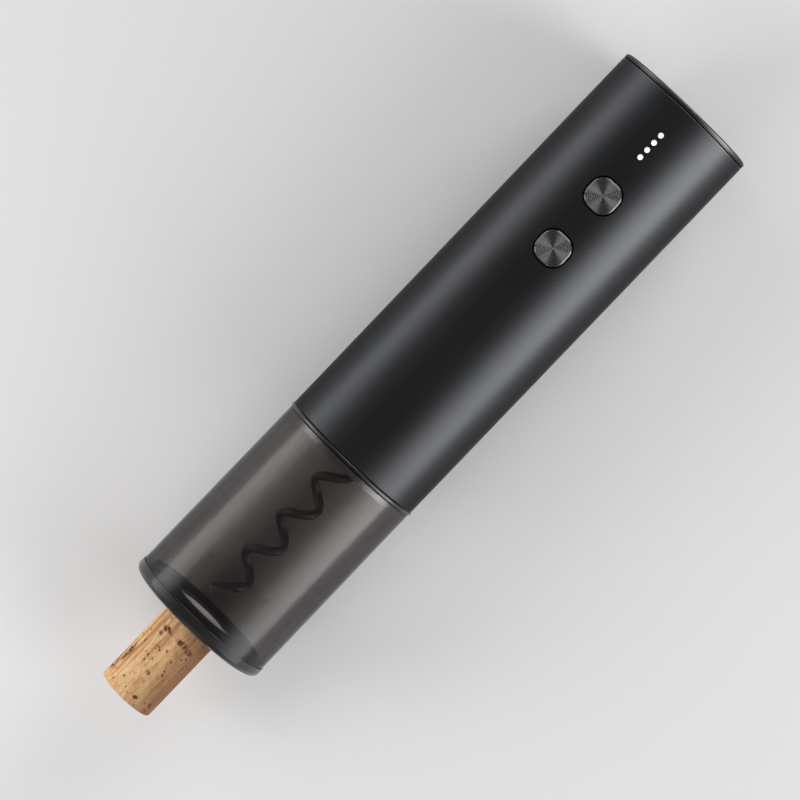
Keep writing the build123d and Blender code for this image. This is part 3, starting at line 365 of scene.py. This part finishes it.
def natural_cork():
    """Natural cork: mottled grain, growth lines along it, crevices and pits with dark dust, painted shade
    that darkens it towards -Y, and a pale cut face at the end that stands in the sleeve, lightened further
    as painted light."""
    s = Shade("natural_cork")
    around = s.vector("SUBTRACT", s.place, (0, 0, AXIS_HEIGHT))
    wide, fine, streak = (
        s.noise(1.0, detail, roughness, s.stretched(length, girth, girth, vector=around))
        for detail, roughness, length, girth in (
            (4.0, 0.6, 80, 300),
            (3.0, 0.6, 600, 1900),
            (3.0, 0.55, 45, 1000),
        )
    )
    cells = s.voronoi(1900, around)
    tone = s.mix(s.fit(wide, 0.38, 0.62), (0.57, 0.27, 0.1), (0.87, 0.54, 0.26))
    tone = s.mix(s.fit(fine, 0.4, 0.66, 0.0, 0.65), tone, (0.94, 0.69, 0.4))
    tone = s.mix(s.fit(streak, 0.52, 0.63, 0.0, 0.75), tone, (0.38, 0.16, 0.055))
    tone = s.mix(s.fit(cells, 0.1, 0.6, 0.3, 0.0), tone, (0.45, 0.22, 0.09))
    blush = s.noise(1.0, 2.0, 0.5, s.stretched(170, 260, 260, (0.01, 0, 0), around))
    tone = s.mix(s.fit(blush, 0.56, 0.7, 0.0, 0.4), tone, (0.66, 0.24, 0.11))
    # painted shade: the cork is darkened towards -Y as if lit from +Y
    side_shade = s.fit(s.split(around)[1], 0.0005, -0.008, 0.0, 0.88)
    tone = s.mix(side_shade, tone, (0.155, 0.066, 0.025))

    ragged = s.noise(1.0, 3.0, 0.6, s.stretched(420, 700, 700, vector=around))
    crack = s.math("ABSOLUTE", s.math("SUBTRACT", ragged, 0.5))
    crack = s.fit(crack, 0.02, 0.09, 1.0, 0.0)
    dark = 0.0
    for back, side, reach, girth in CREVICES:
        height = math.sqrt(CORK_RADIUS**2 - side**2)
        spot = s.vector("SUBTRACT", around, (CORK[0].x + back, side, height))
        spot = s.vector("LENGTH", s.vector("MULTIPLY", spot, (1 / reach, 1 / girth, 1 / girth)))
        dark = s.math("MAXIMUM", dark, s.fit(spot, 0.55, 1.0, 1.0, 0.0))
    tone = s.mix(s.math("MULTIPLY", dark, 0.55), tone, (0.42, 0.17, 0.07))
    dark = s.math("MULTIPLY", dark, crack)
    lens = s.stretched(330, 200, 200, vector=around)
    warp = s.noise(220, 2.0)
    lens = s.vector("ADD", lens, s.vector("MULTIPLY", s.join(warp, warp, warp), (0.9, 0.9, 0.9)))
    deep = s.fit(s.voronoi(1.0, lens), 0.16, 0.3, 1.0, 0.0, True)
    deep = s.math("MULTIPLY", deep, s.fit(s.noise(130, 2.0), 0.52, 0.6))
    small = s.fit(s.voronoi(700, around), 0.14, 0.32, 1.0, 0.0, True)
    small = s.math("MULTIPLY", small, s.fit(s.noise(380), 0.5, 0.58))
    dark = s.math("MAXIMUM", dark, s.math("MAXIMUM", deep, s.math("MULTIPLY", small, 0.85)))
    tone = s.mix(dark, tone, PIT_TONE)
    # the cut end face is paler of itself and lightened further as painted light, so it shows bright inside
    # the sleeve
    end = s.fit(s.split()[0], CORK[1].x - 0.0006, CORK[1].x - 0.0002)
    tone = s.mix(s.math("MULTIPLY", end, 0.85), tone, (0.95, 0.87, 0.8))
    height = s.math("ADD", s.math("MULTIPLY", dark, -1.0), s.math("MULTIPLY", fine, 0.35))
    height = s.math("SUBTRACT", height, s.math("MULTIPLY", s.fit(streak, 0.53, 0.66), 0.25))
    s.surface(
        Base_Color=tone,
        Roughness=s.fit(fine, 0.3, 0.7, 0.72, 0.86),
        Specular_IOR_Level=0.3,
        Coat_Weight=end,
        Coat_Roughness=0.2,
        Sheen_Weight=end,
        Sheen_Roughness=0.4,
        Normal=s.bump(height, 0.00035, 0.8),
    )
    return s


# ------------------------------------------------------------------ parts inside
def machined(name, dark, light, rough=(0.24, 0.36), along=(2500, 60, 60)):
    """Machined metal: fine turning lines with a little spread of tone."""
    s = Shade(name)
    lines = s.noise(1.0, 3.0, vector=s.stretched(*along))
    cloud = s.noise(120, 3.0)
    tone = s.mix(s.fit(cloud, 0.3, 0.7), dark, light)
    s.surface(
        Base_Color=tone,
        Metallic=1.0,
        Roughness=s.fit(lines, 0.3, 0.7, *rough),
        Normal=s.bump(lines, 0.00001, 0.5),
    )
    return s


def sintered(name, dark, light, metallic, rough):
    """Pressed powder: open pores and specks of tone."""
    s = Shade(name)
    pores = s.voronoi(2600)
    specks = s.noise(1500, 3.0)
    tone = s.mix(s.fit(specks, 0.35, 0.65), dark, light)
    tone = s.mix(s.fit(pores, 0.05, 0.25, 0.7, 0.0), tone, tuple(c * 0.3 for c in dark))
    s.surface(Base_Color=tone, Metallic=metallic, Roughness=rough, Normal=s.bump(pores, 0.00003, 0.5))
    return s


def armature_metal():
    """Wound rotor: copper turns round the core's length and bare steel on the shaft."""
    s = Shade("armature")
    turns = s.wave(700)
    coil = s.fit(s.radius(), COIL_RADIUS, COIL_RADIUS + 0.0004, 0.0, 1.0, True)
    tone = s.mix(s.fit(turns, 0.0, 1.0), (0.22, 0.05, 0.015), (0.6, 0.2, 0.07))
    tone = s.mix(coil, (0.5, 0.5, 0.51), tone)
    s.surface(
        Base_Color=tone,
        Metallic=1.0,
        Roughness=s.fit(turns, 0.0, 1.0, 0.42, 0.28),
        Normal=s.bump(s.math("MULTIPLY", turns, coil), 0.0002, 0.6),
    )
    return s


def circuit_board():
    """Green solder mask with brighter tracks, vias and pale fibre at the edges."""
    s = Shade("circuit_board")
    grid = s.add("ShaderNodeTexBrick", offset=0.5, squash=1.0)
    s.put(grid.inputs["Vector"], s.place)
    s.put(grid.inputs["Scale"], 240.0)
    s.put(grid.inputs["Mortar Size"], 0.05)
    s.put(grid.inputs["Color1"], (0.0, 0.0, 0.0))
    s.put(grid.inputs["Color2"], (0.0, 0.0, 0.0))
    s.put(grid.inputs["Mortar"], (1.0, 1.0, 1.0))
    track = s.math("MULTIPLY", grid.outputs["Color"], s.fit(s.noise(150, 1.0), 0.48, 0.52))
    via = s.fit(s.voronoi(330), 0.07, 0.1, 1.0, 0.0)
    weave = s.noise(2400, 2.0)
    tone = s.mix(s.fit(weave, 0.3, 0.7), (0.006, 0.075, 0.03), (0.01, 0.1, 0.04))
    tone = s.mix(track, tone, (0.03, 0.2, 0.08))
    tone = s.mix(via, tone, (0.6, 0.5, 0.28))
    height = s.math("ADD", track, s.math("MULTIPLY", weave, 0.3))
    s.surface(
        Base_Color=tone,
        Roughness=s.fit(weave, 0.3, 0.7, 0.28, 0.38),
        Normal=s.bump(height, 0.00003, 0.5),
    )
    return s


def shrink_wrap():
    """Blue shrink-wrap round the cell, slightly rippled, bare steel at its ends."""
    s = Shade("shrink_wrap")
    low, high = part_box("battery_cell")
    x = s.split()[0]
    ripple = s.noise(1.0, 3.0, vector=s.stretched(40, 260, 260))
    ends = s.math(
        "MAXIMUM",
        s.fit(x, low.x + 0.0002, low.x + 0.0006, 1.0, 0.0),
        s.fit(x, high.x - 0.0018, high.x - 0.0014),
    )
    tone = s.mix(s.fit(ripple, 0.3, 0.7), (0.02, 0.12, 0.34), (0.03, 0.17, 0.44))
    s.surface(
        Base_Color=s.mix(ends, tone, (0.6, 0.6, 0.6)),
        Metallic=ends,
        Roughness=s.fit(ripple, 0.3, 0.7, 0.26, 0.36),
        Normal=s.bump(ripple, 0.00004, 0.4),
    )
    return s


def lead_sheath():
    """Wire insulation, red on one side of the opener and black on the other."""
    s = Shade("lead_sheath")
    side = s.fit(s.split()[1], -0.0001, 0.0001)
    dust = s.noise(1500, 2.0)
    red = s.mix(s.fit(dust, 0.3, 0.7), (0.38, 0.012, 0.01), (0.5, 0.02, 0.016))
    black = s.mix(s.fit(dust, 0.3, 0.7), (0.012, 0.012, 0.012), (0.025, 0.025, 0.025))
    s.surface(
        Base_Color=s.mix(side, red, black),
        Roughness=s.fit(dust, 0.3, 0.7, 0.38, 0.5),
        Normal=s.bump(dust, 0.00001, 0.4),
    )
    return s


dress(blasted_aluminium(), "top_cap", "main_housing")
dress(collar_metal(), "sleeve_collar")
for button in ("lower_button", "upper_button"):
    dress(spun_button(button), button)
dress(
    smoked(
        "smoked_sleeve", colour=(0.33, 0.3, 0.28), density=320.0,
        clearness=(0.74, 0.716, 0.705), polish=0.38, ior=1.06,
    ),
    "clear_sleeve",
)
dress(
    smoked(
        "smoked_guide", colour=(0.33, 0.29, 0.26), density=25.0,
        clearness=(0.985, 0.98, 0.975), polish=0.0, ior=1.02,
    ),
    "cork_guide",
)
dress(light_pipe(), "indicator_light_pipe")
dress(gloss_black(), "base_ring")
dress(
    moulded(
        "stop_rubber", (0.018, 0.018, 0.018), (0.035, 0.035, 0.035),
        rough=(0.6, 0.75), grain=2400, depth=0.00003,
    ),
    "bottle_stop",
)
dress(coated_worm(), "worm")
dress(natural_cork(), "cork")
dress(
    moulded("satin_black", (0.016, 0.016, 0.017), (0.03, 0.03, 0.031), rough=(0.4, 0.5)),
    "worm_hub", "front_chassis", "rear_chassis", "motor_end_cap",
)
dress(
    moulded(
        "gear_acetal", (0.7, 0.69, 0.65), (0.82, 0.81, 0.77), rough=(0.32, 0.44),
        Subsurface_Weight=0.1, Subsurface_Scale=0.001,
    ),
    "ring_gear", "stage_one_carrier",
    *[f"stage_{stage}_planet_{i}" for stage in ("one", "two") for i in (1, 2, 3)],
)
dress(
    machined("machined_steel", (0.44, 0.44, 0.45), (0.58, 0.58, 0.59)),
    "stage_two_carrier", "stage_one_planet_pins", "stage_two_planet_pins", "output_shaft",
    "motor_plate", "gearbox_front_plate", "motor_pinion",
)
dress(
    machined(
        "plated_steel", (0.5, 0.5, 0.5), (0.68, 0.68, 0.67),
        rough=(0.2, 0.32), along=(300, 300, 300),
    ),
    "motor_can", "usb_socket",
)
dress(
    machined(
        "screw_steel", (0.3, 0.29, 0.26), (0.45, 0.43, 0.38),
        rough=(0.26, 0.4), along=(1800, 400, 400),
    ),
    "gearbox_screws", "motor_screws", "chassis_screws", "board_screws",
)
dress(armature_metal(), "motor_armature")
dress(
    sintered("sintered_bronze", (0.4, 0.24, 0.1), (0.55, 0.36, 0.16), metallic=1.0, rough=0.42),
    "output_bearing",
)
dress(
    sintered("ferrite", (0.05, 0.05, 0.053), (0.1, 0.1, 0.105), metallic=0.0, rough=0.55),
    "motor_magnets",
)
dress(
    machined(
        "tinned_copper", (0.6, 0.57, 0.52), (0.75, 0.72, 0.68),
        rough=(0.25, 0.38), along=(200, 900, 200),
    ),
    "motor_terminals", "battery_tabs",
)
dress(shrink_wrap(), "battery_cell")
dress(circuit_board(), "control_board", "charging_board")
dress(
    moulded("chip_black", (0.01, 0.01, 0.01), (0.03, 0.03, 0.03), rough=(0.5, 0.7), grain=3000),
    "board_components", "tact_switches",
)
dress(
    moulded("led_phosphor", (0.75, 0.66, 0.3), (0.9, 0.84, 0.55), rough=(0.3, 0.4), grain=2500),
    "indicator_leds",
)
dress(lead_sheath(), "motor_leads", "battery_leads")


# ------------------------------------------------------------------ floor, light and camera
def floor():
    """Plain pale floor."""
    mesh = bpy.data.meshes.new("floor")
    signs = ((-1, -1), (1, -1), (1, 1), (-1, 1))
    mesh.from_pydata([(FLOOR_HALF * x, FLOOR_HALF * y, 0) for x, y in signs], [], [(0, 1, 2, 3)])
    plane = bpy.data.objects.new("floor", mesh)
    bpy.context.scene.collection.objects.link(plane)
    s = Shade("floor")
    tone = s.mix(s.fit(s.noise(3, 2.0), 0.3, 0.7), (0.83, 0.83, 0.83), (0.85, 0.85, 0.85))
    s.surface(Base_Color=tone, Roughness=0.9, Specular_IOR_Level=0.1)
    mesh.materials.append(s.material)


def softbox(name, place, aim, width, height, radiance, fade=None, side=None, spread=None):
    """A rectangular soft light; width lies level. With fade, it dims from its foot upwards; side gives
    the share of its width over which it grows from half to full brightness. Spread (degrees) is a grid
    over it that keeps its light near where it aims, as bright there as without."""
    data = bpy.data.lights.new(name, "AREA")
    data.shape = "RECTANGLE"
    data.size = width
    data.size_y = height
    data.energy = radiance * math.pi * width * height
    if spread:
        data.spread = math.radians(spread)
        data.energy *= 1 - data.spread / 2 / math.tan(data.spread / 2)
    if fade:
        data.use_nodes = True
        tree = data.node_tree
        glow = tree.nodes["Emission"]
        across = tree.nodes.new("ShaderNodeSeparateXYZ")
        tree.links.new(tree.nodes.new("ShaderNodeNewGeometry").outputs["Parametric"], across.inputs[0])
        ramp = tree.nodes.new("ShaderNodeMapRange")
        ramp.interpolation_type = "SMOOTHSTEP"
        tree.links.new(across.outputs["Y"], ramp.inputs["Value"])
        for socket, value in zip(ramp.inputs[1:5], (*fade, 1.0, 0.0)):
            socket.default_value = value
        grow = tree.nodes.new("ShaderNodeMapRange")
        tree.links.new(across.outputs["X"], grow.inputs["Value"])
        for socket, value in zip(grow.inputs[1:5], (*side, 0.5, 1.0) if side else (0.0, 1.0, 1.0, 1.0)):
            socket.default_value = value
        both = tree.nodes.new("ShaderNodeMath")
        both.operation = "MULTIPLY"
        tree.links.new(ramp.outputs[0], both.inputs[0])
        tree.links.new(grow.outputs[0], both.inputs[1])
        tree.links.new(both.outputs[0], glow.inputs["Strength"])
    lamp = bpy.data.objects.new(name, data)
    lamp.visible_camera = False
    bpy.context.scene.collection.objects.link(lamp)
    lamp.matrix_world = looking(place, aim, (0, 0, 1))


def looking(place, aim, up):
    """The matrix of a lamp or camera that stands at place and looks at aim."""
    ahead = (Vector(aim) - Vector(place)).normalized()
    right = ahead.cross(Vector(up)).normalized()
    top = right.cross(ahead)
    turn = Matrix((right, top, -ahead)).transposed().to_4x4()
    return Matrix.Translation(place) @ turn


def camera(place, aim, up, lens):
    """The photo's view: square to the opener's front, along the picture's diagonal."""
    data = bpy.data.cameras.new("camera")
    data.lens = lens
    data.sensor_width = 36.0
    data.clip_start = 0.01
    cam = bpy.data.objects.new("camera", data)
    bpy.context.scene.collection.objects.link(cam)
    cam.matrix_world = looking(place, aim, up)
    bpy.context.scene.camera = cam


floor()
softbox(
    "right_panel", (0.24, -1.2, 1.0), (0.24, 0.0, 1.0), width=1.02, height=2.0, radiance=8.4,
    fade=(0.0, 1.0), side=(0.1, 0.5), spread=150,
)
softbox(
    "left_panel", (0.09, 1.2, 0.6), (0.09, 0.0, 0.6), width=1.15, height=1.2, radiance=3.1,
    fade=(0.0, 0.95),
)
softbox("foot_softbox", (-1.3, 0.0, 1.0), (-0.05, 0.0, 0.0), width=1.0, height=0.9, radiance=1.8)
softbox(
    "head_softbox", (1.4, 0.0, 0.55), (0.0, 0.0, 0.0), width=1.0, height=0.6, radiance=6.8, spread=120,
)
softbox(
    "cork_softbox", (-0.42, 0.42, 0.3), (-0.11, 0.0, 0.03), width=0.3, height=0.3, radiance=6.5, spread=105,
)

world = bpy.data.worlds.new("world")
bpy.context.scene.world = world
world.use_nodes = True
background = world.node_tree.nodes["Background"]
background.inputs["Color"].default_value = WORLD_TONE
background.inputs["Strength"].default_value = 1.0

camera(
    place=(0.0632, 0.0017, 1.1625), aim=(0.0, 0.0017, AXIS_HEIGHT), up=(0.7227, 0.6911, 0.0), lens=164.5,
)
bpy.context.scene.view_settings.view_transform = "Standard"
